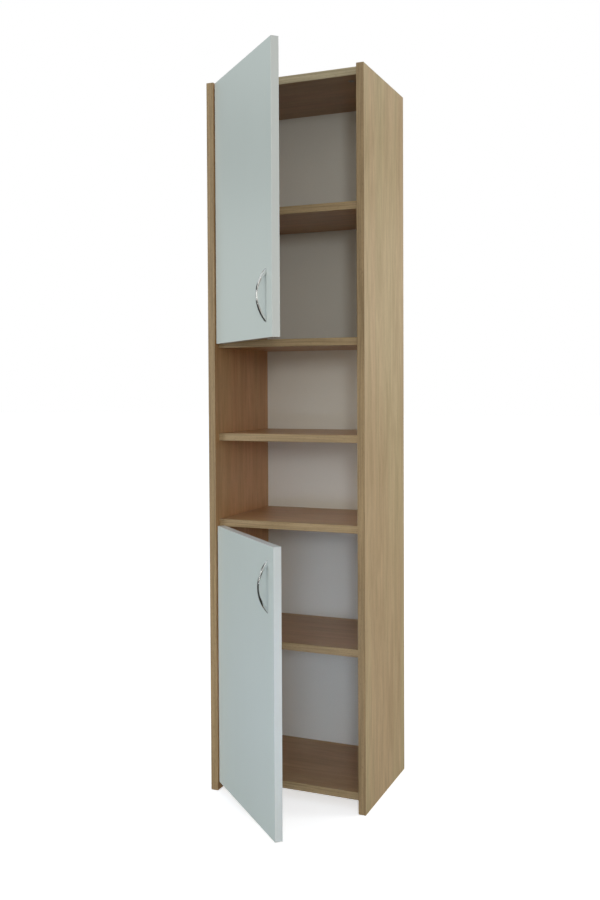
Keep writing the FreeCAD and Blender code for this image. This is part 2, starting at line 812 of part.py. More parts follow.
def plate_screw_holes():
    """Pilot holes in the left panel for every hinge plate."""
    levels = [z for bottom, top, _ in DOORS.values() for z in hinge_levels(bottom, top)]
    return [moved(hole, z=level) for level in levels for hole in plate_screws(FIT)]


# ---------------------------------------------------------------- assembly

side_panel("left", plate_screw_holes())
side_panel("right", [])
for board_name, board_level in FIXED_BOARDS.items():
    fixed_board(board_name, board_level)
for shelf_name, shelf_level in LOOSE_SHELVES.items():
    loose_shelf(shelf_name, shelf_level)
back_panel()
carcass_fixtures()

BUMPER_LEVELS = {
    "upper": (upper_door_bottom + DOOR_COVER / 2, top_level + BOARD / 2),
    "lower": (BOTTOM_LEVEL + BOARD / 2, lower_door_top - BUMPER_RADIUS),
}
for door_name, (door_bottom, door_top, handle_middle) in DOORS.items():
    door(door_name, door_bottom, door_top, handle_middle, BUMPER_LEVELS[door_name])

for node_name, node_shape in nodes.items():
    node_shape.exportStep(f"parts/{node_name}.step")
print(f"{len(nodes)} sub-parts written")
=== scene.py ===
"""A tall bathroom cabinet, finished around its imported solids: wood-grain boards with
rounded banding, high-gloss doors, chrome bow handles and nickel-plated hinges."""

import math

import bmesh
import bpy
from mathutils import Matrix, Vector


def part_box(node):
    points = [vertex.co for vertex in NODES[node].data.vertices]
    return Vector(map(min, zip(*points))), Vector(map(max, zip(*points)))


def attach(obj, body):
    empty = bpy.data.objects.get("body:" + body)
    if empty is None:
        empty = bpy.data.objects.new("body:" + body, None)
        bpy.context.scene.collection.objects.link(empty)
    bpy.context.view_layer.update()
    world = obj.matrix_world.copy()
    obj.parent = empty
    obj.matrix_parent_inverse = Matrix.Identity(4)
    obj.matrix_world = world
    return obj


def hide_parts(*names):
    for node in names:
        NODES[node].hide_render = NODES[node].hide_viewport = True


bl_info = {
    "name": "Tall bathroom cabinet",
    "version": (1, 0, 0),
    "blender": (4, 5, 0),
    "location": "View3D > Sidebar > Cabinet",
    "description": "Finishes a tall bathroom cabinet and sets its studio",
    "category": "Object",
}

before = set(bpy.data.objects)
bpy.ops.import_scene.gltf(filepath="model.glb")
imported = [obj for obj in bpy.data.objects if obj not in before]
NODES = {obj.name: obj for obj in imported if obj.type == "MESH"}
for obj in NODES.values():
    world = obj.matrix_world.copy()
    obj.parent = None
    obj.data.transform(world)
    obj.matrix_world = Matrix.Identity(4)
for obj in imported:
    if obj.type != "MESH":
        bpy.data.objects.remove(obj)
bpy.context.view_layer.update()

MM = 0.001
X, Y, Z = Vector((1, 0, 0)), Vector((0, 1, 0)), Vector((0, 0, 1))
DOORS = ("upper", "lower")
SIDES = ("left_side", "right_side")
FIXED_BOARDS = (
    "top_panel",
    "upper_fixed_shelf",
    "niche_shelf",
    "lower_fixed_shelf",
    "bottom_panel",
)
LOOSE_SHELVES = ("upper_shelf", "lower_shelf")


# ---------------------------------------------------------------- what a user can change


def length(name, description, default):
    return bpy.props.FloatProperty(
        name=name, description=description, default=default, unit="LENGTH", precision=5
    )


def colour(name, description, default):
    return bpy.props.FloatVectorProperty(
        name=name, description=description, default=default, subtype="COLOR", size=3
    )


def factor(name, description, default):
    return bpy.props.FloatProperty(
        name=name, description=description, default=default, subtype="FACTOR"
    )


class CabinetSizes(bpy.types.PropertyGroup):
    """Sizes of the pieces that are modelled here."""

    band: length("Banding", "Thickness of the edge banding", 0.8 * MM)
    band_round: length("Banding edge", "Rounding of the banding's long edges", 0.6 * MM)
    door_thickness: length("Door", "Thickness of a door", 18 * MM)
    door_width: length("Door width", "Width of a door", 360 * MM)
    door_angle: bpy.props.FloatProperty(
        name="Door angle",
        description="How far the doors stand open at rest",
        default=math.radians(43.7),
        subtype="ANGLE",
    )
    handle_length: length("Handle", "Length of a handle over its feet", 114 * MM)
    handle_height: length("Handle height", "How far a handle stands out", 22 * MM)
    handle_inner_length: length("Grip length", "Gap between the handle's feet", 88 * MM)
    handle_inner_height: length("Grip height", "Depth of the finger gap", 19.8 * MM)
    handle_width: length("Handle width", "Width of the handle's strip", 8 * MM)
    handle_round: length("Handle edge", "Rounding of the handle's long edges", 1.0 * MM)
    metal_round: length("Metal edge", "Rounding of the hinge parts' edges", 0.25 * MM)
    recess: length("Screw recess", "Length of a screw's cross recess", 3.6 * MM)


class CabinetColours(bpy.types.PropertyGroup):
    """Colours of the finishes."""

    oak_light: colour("Oak, light", "Light wood between the grain", (0.67, 0.53, 0.335))
    oak_dark: colour("Oak, dark", "Dark figure of the grain", (0.48, 0.36, 0.205))
    oak_pore: colour("Oak, pores", "Fine pores of the grain", (0.21, 0.135, 0.075))
    # Painted shade: this browner, darker tint on the faces inside the cabinet stands for shade
    # and warm bounce light; the laminate is the same on both faces
    oak_inner: colour("Oak, inner", "Tint of the browner inner sheet", (1.0, 0.77, 0.62))
    door_gloss: colour("Door gloss", "High-gloss film of the doors", (0.75, 0.84, 0.83))
    door_rear: colour("Door rear", "White film behind the doors", (0.80, 0.81, 0.79))
    door_edge: colour("Door edge", "Gloss banding of the doors", (0.80, 0.85, 0.84))
    hardboard: colour("Back, front", "White lacquer of the back panel", (0.80, 0.815, 0.77))
    raw_board: colour("Back, rear", "Raw hardboard behind", (0.27, 0.165, 0.09))
    chipboard: colour("Chipboard", "Raw chipboard at unbanded ends", (0.42, 0.30, 0.17))
    chrome: colour("Chrome", "Handles", (0.86, 0.87, 0.88))
    nickel: colour("Nickel", "Plated hinges and screws", (0.62, 0.61, 0.58))
    zinc: colour("Zinc", "Die-cast cam locks", (0.38, 0.38, 0.37))
    beech: colour("Beech", "Dowels", (0.52, 0.33, 0.17))
    bumper: colour("Bumper", "Clear soft bumpers", (0.80, 0.83, 0.82))
    floor: colour("Floor", "Studio floor", (0.90, 0.90, 0.90))


class CabinetStage(bpy.types.PropertyGroup):
    """The studio and its camera."""

    camera_place: bpy.props.FloatVectorProperty(
        name="Camera",
        description="Where the camera stands",
        default=(0.94105, -2.30948, 0.98721),
        subtype="XYZ",
        unit="LENGTH",
        size=3,
    )
    camera_turn: bpy.props.FloatVectorProperty(
        name="Camera turn",
        description="Tilt, roll and turn of the camera",
        default=(math.radians(-1.487), math.radians(-0.282), math.radians(22.931)),
        subtype="EULER",
        size=3,
    )
    focal_pixels: bpy.props.FloatProperty(
        name="Focal length",
        description="Focal length in pixels of the view",
        default=999.1,
        subtype="PIXEL",
    )
    centre_pixels: bpy.props.FloatVectorProperty(
        name="Optical centre",
        description="Where the optical axis meets the view, in its pixels",
        default=(295.6, 412.8),
        size=2,
    )
    ambient: factor("Ambient", "Strength of the soft light from all round", 1.0)


# ---------------------------------------------------------------- fixed measures


WELD = 0.001 * MM  # vertices closer than this are one
FACE_DEPTH = 0.2 * MM  # how deep a face's own finish reaches into a board
FLAT_ANGLE = math.radians(1.0)  # faces that meet within this are one face
SHARP_ANGLE = math.radians(40.0)  # edges that turn by more than this are rounded

# Handles: from the door's free edge to a handle, and from its middle to each screw
HANDLE_FROM_EDGE = 36 * MM
HANDLE_SCREW_OFFSET = 48 * MM
BOW_STEPS = 48

# Hinges: half a plate's height, then the places of the screw heads. Offsets are from the
# hinge's middle, depths from the cabinet's front and rises from the board's face
PLATE_HALF = 21.5 * MM
PLATE_SCREW_OFFSET = 16 * MM
PLATE_SCREW_DEPTH = 60 * MM
PLATE_SCREW_RISE = 2 * MM
ARM_SCREW_DEPTHS = (54 * MM, 66 * MM)
ARM_SCREW_RISE = 10.2 * MM
CUP_SCREW_OFFSET = 24 * MM
CUP_SCREW_RISE = 0.8 * MM
CUP_SCREW_FROM_HINGE_EDGE = 32 * MM

# Screws: radius and height of the head, radius of the shank, length below the head
HANDLE_SCREW = {"head": 4 * MM, "rise": 2.6 * MM, "shank": 2 * MM, "length": 22.5 * MM}
CUP_SCREW = {"head": 3.4 * MM, "rise": 1.6 * MM, "shank": 1.75 * MM, "length": 12 * MM}
PLATE_SCREW = {"head": 3.4 * MM, "rise": 1.8 * MM, "shank": 1.75 * MM, "length": 13 * MM}
ARM_SCREW = {"head": 3.6 * MM, "rise": 2.2 * MM, "shank": 2.2 * MM, "length": 7.7 * MM}
HANDLE_RECESS = 1.1  # a handle screw's recess against the hinge screws'
ARM_SLOT = 1.5  # an arm screw's slot against the same
HEAD_SEGMENTS = 24
HEAD_ROUND = 0.55  # of the head's height
RECESS_HALF_WIDTH = 0.14  # of the head's radius
RECESS_DEPTH = 0.62  # of the head's height
RECESS_TAPER = 0.72  # the recess's floor against its mouth
POINT_TAPER = 0.35  # the screw's end against its shank

# Bumpers
BUMPER_RADIUS = 4.5 * MM
BUMPER_RISE = 1.0 * MM
BUMPER_INSET = 14 * MM
BUMPER_DOME = 0.8  # of the bumper's rise
BUMPER_SEGMENTS = 32

# Screws and bumpers are shaped along +Z: these turn them out of a door's rear face and
# off the left side panel
OUT_OF_DOOR = Matrix.Rotation(math.radians(-90), 4, "X")
OFF_SIDE = Matrix.Rotation(math.radians(90), 4, "Y")

# The wood print's layers: features per metre across the grain and along it
FIGURE = (17.0, 2.6)
BROAD_BANDS = (75.0, 6.0)
STREAKS = (330.0, 13.0)
PORES = (1000.0, 55.0)
TICKS = (45.0, 520.0)
HUE_DRIFT = (11.0, 0.8)
EDGE_STREAKS = (620.0, 9.0)
EDGE_LINES = (260.0, 5.0)
EDGE_SPECKS = (900.0, 120.0)

# Where each piece's print starts: the first of its kind, and the step to each next one
SIDE_PRINT = (0.0, 2.7)
BOARD_PRINT = (6.1, 1.9)
SIDE_EDGE_PRINT = (0.0, 1.3)
BOARD_EDGE_PRINT = (3.3, 1.0)

# How dark the painted shade is on the horizontal boards, deepest on the top panel whose
# underside lies in shade, and tints of the banding
BOARD_PAINTED_SHADE = 0.82
TOP_PANEL_PAINTED_SHADE = 0.65
SIDE_EDGE_TINT = (0.64, 0.57, 0.475)
BOARD_EDGE_TINT = (0.70, 0.645, 0.56)
# Painted sheen: the top panel's banding is tinted paler and greener for the light glancing off
# the cabinet's top edge
TOP_PANEL_EDGE_PAINTED_SHEEN = (0.76, 0.82, 0.84)

# The studio, in metres. The camera's sensor is in millimetres
VIEW_SIZE = (600, 900)
SENSOR = 36.0
VIEW_REACH = 50.0
FLOOR_HALF = 30.0
FLOOR_GLOW = 0.62

# The lamps: spread in degrees and power in watts. A lamp that isn't mirrored leaves no
# bright patch in gloss and chrome
LAMPS = {
    "key": {
        "place": (2.06, -4.38, 1.67),
        "aim": (0, 0, 0.9),
        "size": (0.4, 0.6),
        "spread": 180,
        "power": 26.0,
        "colour": (0.98, 1.0, 0.99),
        "mirrored": False,
    },
    "broad_side": {
        "place": (2.9, 1.0, 1.05),
        "aim": (0.1, 0, 0.9),
        "size": (1.2, 1.5),
        "spread": 180,
        "power": 32.0,
        "colour": (1.0, 0.99, 0.93),
        "mirrored": True,
    },
    "high_side": {
        "place": (2.9, 1.1, 2.25),
        "aim": (0, 0, 1.5),
        "size": (0.6, 0.35),
        "spread": 180,
        "power": 4.0,
        "colour": (0.97, 1.0, 0.98),
        "mirrored": True,
    },
    "tall_strip": {
        "place": (-2.5, -2.8, 1.2),
        "aim": (0, 0, 0.9),
        "size": (0.5, 2.0),
        "spread": 180,
        "power": 19.0,
        "colour": (1.0, 0.99, 0.95),
        "mirrored": True,
    },
    "low_fill": {
        "place": (1.0, -2.7, 0.34),
        "aim": (0.05, 0.1, 0.3),
        "size": (0.6, 0.5),
        "spread": 26,
        "power": 0.34,
        "colour": (0.75, 0.9, 1.2),
        "mirrored": False,
    },
}

# The soft light from all round: its colour from the minus side and the plus side of
# each axis
SKY = {
    "x": ((0.31, 0.35, 0.36), (0.20, 0.18, 0.16)),
    "y": ((1.03, 0.98, 0.87), (0.66, 0.60, 0.48)),
    "z": ((0.0, 0.0, 0.0), (0.27, 0.36, 0.50)),
}


# ---------------------------------------------------------------- shader maths


def rgba(value):
    """A colour as a node wants it. A wire passes through."""
    return value if isinstance(value, Wire) else (*value, 1.0)


class Wire:
    """A shader socket that takes Python's arithmetic and adds the Math nodes for it."""

    def __init__(self, finish, socket):
        self.finish, self.socket = finish, socket

    def math(self, operation, first, second):
        sockets = {0: first, 1: second}
        return self.finish.node("ShaderNodeMath", {"operation": operation}, sockets)

    def __add__(self, other):
        return self.math("ADD", self, other)

    def __sub__(self, other):
        return self.math("SUBTRACT", self, other)

    def __rsub__(self, other):
        return self.math("SUBTRACT", other, self)

    def __mul__(self, other):
        return self.math("MULTIPLY", self, other)

    __radd__ = __add__
    __rmul__ = __mul__

    def rising(self, low, high):
        """0 up to low, 1 from high on, and smooth between them."""
        return self.finish.node(
            "ShaderNodeMapRange",
            {"interpolation_type": "SMOOTHSTEP"},
            {"Value": self, "From Min": low, "From Max": high},
        )

    def falling(self, low, high):
        """1 up to low, 0 from high on, and smooth between them."""
        return 1.0 - self.rising(low, high)


class Finish:
    """A material, or a world, that is built as expressions on wires. Its x, y and z are
    the place on the piece, or the direction in the sky."""

    def __init__(self, name, kind="materials", coordinates="Object"):
        self.owner = getattr(bpy.data, kind).new(name)
        self.owner.use_nodes = True
        self.tree = self.owner.node_tree
        self.tree.nodes.clear()
        spot = self.node("ShaderNodeTexCoord", {}, {}, coordinates)
        self.x, self.y, self.z = (
            self.node("ShaderNodeSeparateXYZ", {}, {"Vector": spot}, axis) for axis in "XYZ"
        )

    def node(self, kind, settings, sockets, output=0):
        """Any node: its settings first, then the values or wires of its sockets."""
        node = self.tree.nodes.new(kind)
        for key, value in settings.items():
            setattr(node, key, value)
        for key, value in sockets.items():
            if isinstance(value, Wire):
                self.tree.links.new(value.socket, node.inputs[key])
            else:
                node.inputs[key].default_value = value
        return Wire(self, node.outputs[output])

    def noise(self, per_metre, detail=2.0, roughness=0.5, distortion=0.0, at=0.0):
        """Noise with its own number of features per metre along each axis. at moves it,
        so that like pieces differ."""
        x, y, z = (axis * n for axis, n in zip((self.x, self.y, self.z), per_metre))
        spot = self.node("ShaderNodeCombineXYZ", {}, {"X": x + at, "Y": y + at, "Z": z})
        sockets = {
            "Vector": spot,
            "Scale": 1.0,
            "Detail": detail,
            "Roughness": roughness,
            "Distortion": distortion,
        }
        return self.node("ShaderNodeTexNoise", {}, sockets)

    def mix(self, amount, first, second, blend="MIX"):
        """A mix of two colours. Their sockets go by number, because the node has several
        of each name."""
        settings = {"data_type": "RGBA", "blend_type": blend}
        sockets = {"Factor": amount, 6: rgba(first), 7: rgba(second)}
        return self.node("ShaderNodeMix", settings, sockets, 2)

    def bump(self, height, depth):
        """Fine relief in the normal. depth is in metres."""
        return self.node("ShaderNodeBump", {}, {"Distance": depth, "Height": height})

    def shade(self, base, **sockets):
        """Ends the material in a shader. An underscore stands for a space."""
        inputs = {key.replace("_", " "): value for key, value in sockets.items()}
        inputs["Base Color"] = rgba(base)
        shader = self.node("ShaderNodeBsdfPrincipled", {}, inputs)
        return self.end(shader, "ShaderNodeOutputMaterial")

    def end(self, shader, kind):
        """Joins the shader to its output node and returns the material or the world."""
        output = self.tree.nodes.new(kind)
        self.tree.links.new(shader.socket, output.inputs["Surface"])
        return self.owner


def colours(context, *names):
    return [tuple(getattr(context.scene.cabinet_colours, name)) for name in names]


def scaled(tone, share):
    """A colour with each channel multiplied."""
    return [channel * share for channel in tone]


def paint(obj, material):
    """Gives the whole object one material."""
    obj.data.materials.clear()
    obj.data.materials.append(material)


# ---------------------------------------------------------------- finishes


def along_grain(grain, layer):
    """A layer's features per metre on the three axes, for grain along one of them."""
    across, along = layer
    return [along if axis == grain else across for axis in "XYZ"]


def print_start(kind, i):
    """Where the wood print of the i-th piece of a kind starts."""
    first, step = kind
    return first + step * i


def oak(context, name, grain, at, painted_shade_mask, shade=1.0, raw=None):
    """Printed oak laminate: drifting figure, broad bands, fine streaks, short dark pores
    and faint ticks across the grain. painted_shade_mask masks the faces that get painted
    shade, a browner, darker tint for the shade inside the cabinet, which shade darkens
    further, and raw masks ends that have no banding."""
    finish = Finish(name)
    light, dark, pore, inner, chips = colours(
        context, "oak_light", "oak_dark", "oak_pore", "oak_inner", "chipboard"
    )
    figure = finish.noise(
        along_grain(grain, FIGURE), detail=3.0, roughness=0.6, distortion=1.1, at=at
    )
    bands = finish.noise(
        along_grain(grain, BROAD_BANDS), detail=3.0, roughness=0.55, distortion=0.5, at=at + 17.0
    )
    streaks = finish.noise(
        along_grain(grain, STREAKS), detail=4.0, roughness=0.62, distortion=0.2, at=at + 3.0
    )
    pores = finish.noise(along_grain(grain, PORES), roughness=0.6, at=at + 7.0)
    ticks = finish.noise(along_grain(grain, TICKS), roughness=0.6, at=at + 11.0)
    tone = figure.rising(0.36, 0.64) * 0.34 + bands.rising(0.36, 0.64) * 0.38
    tone = tone + streaks.rising(0.30, 0.72) * 0.28
    wood = finish.mix(tone, light, dark)
    drift = finish.noise(along_grain(grain, HUE_DRIFT), distortion=0.6, at=at + 23.0)
    hue = finish.mix(drift.rising(0.36, 0.64), (0.98, 1.0, 0.945), (1.04, 0.985, 0.965))
    wood = finish.mix(1.0, wood, hue, "MULTIPLY")
    wood = finish.mix(pores.rising(0.56, 0.72) * 0.26, wood, pore)
    wood = finish.mix(ticks.rising(0.55, 0.75) * 0.07, wood, pore)
    # Painted shade: a browner, darker tint for the shade and warm bounce light inside the
    # cabinet
    painted_inner_shade = finish.mix(1.0, wood, scaled(inner, shade), "MULTIPLY")
    wood = finish.mix(painted_shade_mask(finish), wood, painted_inner_shade)
    roughness = 0.30 + pores * 0.14
    height = pores * 0.6 + streaks * 0.4
    if raw:
        grit = finish.noise((420.0, 420.0, 420.0), detail=3.0, roughness=0.7, at=at)
        ends = raw(finish)
        core = finish.mix(grit.rising(0.40, 0.66), chips, scaled(chips, 0.45))
        wood = finish.mix(ends, wood, core)
        roughness = roughness + ends * 0.3
        height = height + ends * grit * 4.0
    bump = finish.bump(height, 0.12 * MM)
    return finish.shade(wood, Roughness=roughness, Normal=bump, Specular_IOR_Level=0.42)


def oak_band(context, name, grain, at, tint):
    """The banding: the same print in closer lines, darker, tinted and a little duller."""
    finish = Finish(name)
    light, dark, pore = colours(context, "oak_light", "oak_dark", "oak_pore")
    streaks = finish.noise(along_grain(grain, EDGE_STREAKS), detail=3.0, roughness=0.6, at=at)
    lines = finish.noise(
        along_grain(grain, EDGE_LINES), roughness=0.6, distortion=0.2, at=at + 2.0
    )
    specks = finish.noise(along_grain(grain, EDGE_SPECKS), roughness=0.65, at=at + 5.0)
    tone = streaks.rising(0.32, 0.70) * 0.4 + lines.rising(0.42, 0.62) * 0.5
    wood = finish.mix(tone, light, scaled(dark, 0.8))
    wood = finish.mix(specks.rising(0.55, 0.70) * 0.45, wood, pore)
    # The tint is the banding's own colour, except on the top panel, where it is a painted sheen
    wood = finish.mix(1.0, wood, tint, "MULTIPLY")
    bump = finish.bump(specks + streaks, 0.08 * MM)
    return finish.shade(wood, Roughness=0.34 + specks * 0.14, Normal=bump)


def door_gloss(context, name, door):
    """Gloss film with a trace of orange peel and faintly duller patches. The rear face
    has a whiter, shinier film."""
    finish = Finish(name)
    face, behind = colours(context, "door_gloss", "door_rear")
    place = door_place(context, door)
    across = place.to_3x3() @ Y
    depth = finish.x * across.x + finish.y * across.y - place.translation.dot(across)
    thick = context.scene.cabinet_sizes.door_thickness
    rear = depth.rising(thick - 2 * FACE_DEPTH, thick - FACE_DEPTH)
    drift = finish.noise((3.0, 3.0, 2.2), distortion=0.2, at=5.0)
    peel = finish.noise((110.0, 110.0, 110.0))
    scuffs = finish.noise((30.0, 30.0, 7.0), at=4.0)
    base = finish.mix(drift, face, scaled(face, 0.94))
    base = finish.mix(rear, base, behind)
    roughness = 0.19 + scuffs * 0.09 - rear * 0.10
    bump = finish.bump(peel, 0.03 * MM)
    return finish.shade(base, Roughness=roughness, Normal=bump, Specular_IOR_Level=0.4)


def door_banding(context, name):
    """Gloss banding: slow drift in tone and shine, and fine ripples."""
    finish = Finish(name)
    (edge,) = colours(context, "door_edge")
    drift = finish.noise((60.0, 60.0, 9.0))
    ripple = finish.noise((700.0, 700.0, 60.0))
    base = finish.mix(drift, edge, scaled(edge, 0.93))
    bump = finish.bump(ripple, 0.03 * MM)
    return finish.shade(base, Roughness=0.16 + drift * 0.1, Normal=bump)


def back_lacquer(context, name, rear_from):
    """White lacquered hardboard, raw and mottled brown on its rear face."""
    finish = Finish(name)
    white, raw = colours(context, "hardboard", "raw_board")
    drift = finish.noise((5.0, 5.0, 3.5), distortion=0.4)
    grain = finish.noise((500.0, 500.0, 500.0), roughness=0.6)
    fibres = finish.noise((90.0, 90.0, 140.0), detail=5.0, roughness=0.7, distortion=0.8)
    front = finish.mix(drift * 0.6, white, scaled(white, 0.93))
    back = finish.mix(fibres.rising(0.35, 0.68), raw, scaled(raw, 0.55))
    rear = finish.y.rising(rear_from - FACE_DEPTH, rear_from)
    base = finish.mix(rear, front, back)
    roughness = 0.24 + grain * 0.06 + rear * 0.5
    bump = finish.bump(grain + rear * fibres * 6.0, 0.04 * MM)
    return finish.shade(base, Roughness=roughness, Normal=bump)


def metal(context, name, tone, roughness, brushed=0.0):
    """A metal: smudges in its shine, a little drift in tone, and fine marks."""
    finish = Finish(name)
    (base,) = colours(context, tone)
    smudge = finish.noise((120.0, 120.0, 120.0), detail=3.0, roughness=0.6, distortion=0.4)
    marks = finish.noise((2600.0, 2600.0, 240.0), roughness=0.6)
    drift = finish.mix(smudge.rising(0.35, 0.70), base, scaled(base, 0.86))
    smears = smudge.rising(0.45, 0.75) * (0.25 * roughness + 0.02)
    worn = roughness + smears + marks * brushed
    bump = finish.bump(marks, (0.01 + 0.06 * brushed) * MM)
    return finish.shade(drift, Metallic=1.0, Roughness=worn, Normal=bump)


def beech(context, name):
    """Bare beech with its grain along X and short dark flecks."""
    finish = Finish(name)
    (wood,) = colours(context, "beech")
    streaks = finish.noise((25.0, 700.0, 700.0), detail=3.0, roughness=0.6)
    flecks = finish.noise((240.0, 1500.0, 1500.0), roughness=0.6, at=2.0)
    base = finish.mix(streaks, wood, scaled(wood, 0.6))
    base = finish.mix(flecks.rising(0.6, 0.7) * 0.5, base, scaled(wood, 0.3))
    bump = finish.bump(streaks, 0.2 * MM)
    return finish.shade(base, Roughness=0.55 + streaks * 0.2, Normal=bump)


def clear_rubber(context, name):
    """Soft clear plastic: it lets light through and has a faint cloud in it."""
    finish = Finish(name)
    (clear,) = colours(context, "bumper")
    cloud = finish.noise((300.0, 300.0, 300.0))
    base = finish.mix(cloud, clear, scaled(clear, 0.9))
    return finish.shade(base, Roughness=0.12 + cloud * 0.1, Transmission_Weight=0.6, IOR=1.45)


# ---------------------------------------------------------------- shaping


def new_piece(shape, name, body, nodes, material, soft=False):
    """Makes a bmesh a piece of the cabinet that stands for its nodes."""
    bmesh.ops.recalc_face_normals(shape, faces=shape.faces)
    for face in shape.faces:
        face.smooth = soft
    mesh = bpy.data.meshes.new(name)
    shape.to_mesh(mesh)
    shape.free()
    piece = bpy.data.objects.new(name, mesh)
    bpy.context.scene.collection.objects.link(piece)
    paint(piece, material)
    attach(piece, body)
    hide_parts(*nodes)
    return piece


def add_box(shape, low, high):
    """A box between two corners, as vertices and edges of the bmesh."""
    low, high = Vector(low), Vector(high)
    place = Matrix.Translation((low + high) / 2) @ Matrix.Diagonal((*(high - low), 1))
    return bmesh.ops.create_cube(shape, size=1.0, matrix=place)["verts"]


def round_edges(shape, edges, radius, segments=3):
    """Rounds the edges of a bmesh."""
    bmesh.ops.bevel(
        shape,
        geom=edges,
        offset=radius,
        offset_type="OFFSET",
        affect="EDGES",
        segments=segments,
        profile=0.5,
        material=-1,
    )


def add_band(shape, low, high, outward, radius):
    """A strip of banding, rounded where its outer face meets the board's faces."""
    corners = add_box(shape, low, high)
    faces = {face for corner in corners for face in corner.link_faces}
    outer = max(faces, key=lambda face: face.calc_center_median().dot(outward))
    round_edges(shape, list(outer.edges), radius)


def merged_copy(node, name, body, material, radius):
    """A copy of a CAD mesh, merged, with its sharp edges rounded."""
    shape = bmesh.new()
    shape.from_mesh(NODES[node].data)
    bmesh.ops.remove_doubles(shape, verts=shape.verts, dist=WELD)
    bmesh.ops.dissolve_limit(
        shape, angle_limit=FLAT_ANGLE, verts=shape.verts, edges=shape.edges
    )
    piece = new_piece(shape, name, body, [node], material, soft=True)
    bevel = piece.modifiers.new("Rounded edges", "BEVEL")
    bevel.width = radius
    bevel.segments = 2
    bevel.limit_method = "ANGLE"
    bevel.angle_limit = SHARP_ANGLE
    bevel.harden_normals = True
    return piece


def door_place(context, door):
    """From a door's own frame, u along its width and v through it, to the cabinet's."""
    sizes = context.scene.cabinet_sizes
    low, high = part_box(f"{door}_door_edge_band")
    front = high.y - sizes.door_thickness * math.cos(sizes.door_angle)
    return Matrix.Translation((low.x, front, 0)) @ Matrix.Rotation(-sizes.door_angle, 4, "Z")


def repeated(unit, places):
    """A bmesh with a copy of the unit at each place."""
    pattern = bpy.data.meshes.new("pattern")
    unit.to_mesh(pattern)
    unit.free()
    shape = bmesh.new()
    for place in places:
        count = len(shape.verts)
        shape.from_mesh(pattern)
        shape.verts.ensure_lookup_table()
        bmesh.ops.transform(shape, matrix=place, verts=shape.verts[count:])
    bpy.data.meshes.remove(pattern)
    return shape


def hinge_levels(door):
    """The heights of a door's two hinges."""
    low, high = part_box(f"{door}_hinge_plates")
    return low.z + PLATE_HALF, high.z - PLATE_HALF


# ---------------------------------------------------------------- screws


def closed_loop(shape, points):
    """Adds the points and the edges that join them in a ring, and returns the edges."""
    corners = [shape.verts.new((*point, 0)) for point in points]
    return [shape.edges.new(pair) for pair in zip(corners, corners[1:] + corners[:1])]


def recess_outline(reach, half, cross):
    """A cross or a straight slot, seen from the front of a screw head."""
    if not cross:
        return [(reach, -half), (reach, half), (-reach, half), (-reach, -half)]
    arm = [(reach, -half), (reach, half), (half, half)]
    quarters = [Matrix.Rotation(math.radians(90 * i), 2) for i in range(4)]
    return [quarter @ Vector(point) for quarter in quarters for point in arm]


def pushed(shape, edges, depth, scale):
    """Extrudes a loop of edges downwards and scales its new end. Returns the new edges."""
    grown = bmesh.ops.extrude_edge_only(shape, edges=edges)["geom"]
    corners = [item for item in grown if isinstance(item, bmesh.types.BMVert)]
    bmesh.ops.scale(shape, vec=(scale, scale, 1), verts=corners)
    bmesh.ops.translate(shape, vec=(0, 0, -depth), verts=corners)
    ends = set(corners)
    return [edge for edge in shape.edges if set(edge.verts) <= ends]


def screw(head, rise, shank, length, reach, cross=True, sunk=False):
    """A screw that looks along +Z: a pan head on z = 0, or a countersunk one below it."""
    shape = bmesh.new()
    bmesh.ops.create_circle(shape, segments=HEAD_SEGMENTS, radius=head)
    rim = list(shape.edges)
    slot = closed_loop(shape, recess_outline(reach, RECESS_HALF_WIDTH * head, cross))
    bmesh.ops.triangle_fill(shape, edges=rim + slot, use_beauty=True)
    if sunk:
        neck = pushed(shape, rim, rise, shank / head)
    else:
        seat = pushed(shape, rim, rise, 1.0)
        neck = pushed(shape, seat, 0.0, shank / head)
    tip = pushed(shape, neck, length - shank, 1.0)
    point = pushed(shape, tip, shank, POINT_TAPER)
    floor = pushed(shape, slot, RECESS_DEPTH * rise, RECESS_TAPER)
    for opening in (point, floor):
        bmesh.ops.edgeloop_fill(shape, edges=opening)
    if not sunk:
        round_edges(shape, rim, HEAD_ROUND * rise, segments=4)
        bmesh.ops.translate(shape, vec=(0, 0, rise), verts=shape.verts)
    return shape


# ---------------------------------------------------------------- operators


class CABINET_OT_finish_boards(bpy.types.Operator):
    """Lays oak laminate on the boards, with the grain along each board"""

    bl_idname = "cabinet.finish_boards"
    bl_label = "Finish boards"

    def execute(self, context):
        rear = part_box("left_side_panel")[1].y
        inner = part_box("right_side_panel")[0].x

        def panel_ends(finish):
            return finish.z.falling(0.0, FACE_DEPTH) + finish.y.rising(rear - FACE_DEPTH, rear)

        # The inner faces of the sides, which take the painted shade
        def inner_face(finish):
            past_left = finish.x.rising(-inner - FACE_DEPTH, -inner)
            past_right = finish.x.rising(inner, inner + FACE_DEPTH)
            return past_left - past_right

        def all_over(finish):
            return 1.0

        for i, side in enumerate(SIDES):
            name = f"{side}_panel"
            at = print_start(SIDE_PRINT, i)
            material = oak(context, f"{name}_oak", "Z", at, inner_face, raw=panel_ends)
            paint(NODES[name], material)
        for i, name in enumerate(FIXED_BOARDS + LOOSE_SHELVES):
            at = print_start(BOARD_PRINT, i)
            # Painted shade over the whole board, deepest on the top panel
            shade = TOP_PANEL_PAINTED_SHADE if name == "top_panel" else BOARD_PAINTED_SHADE
            paint(NODES[name], oak(context, f"{name}_oak", "X", at, all_over, shade))
        return {"FINISHED"}


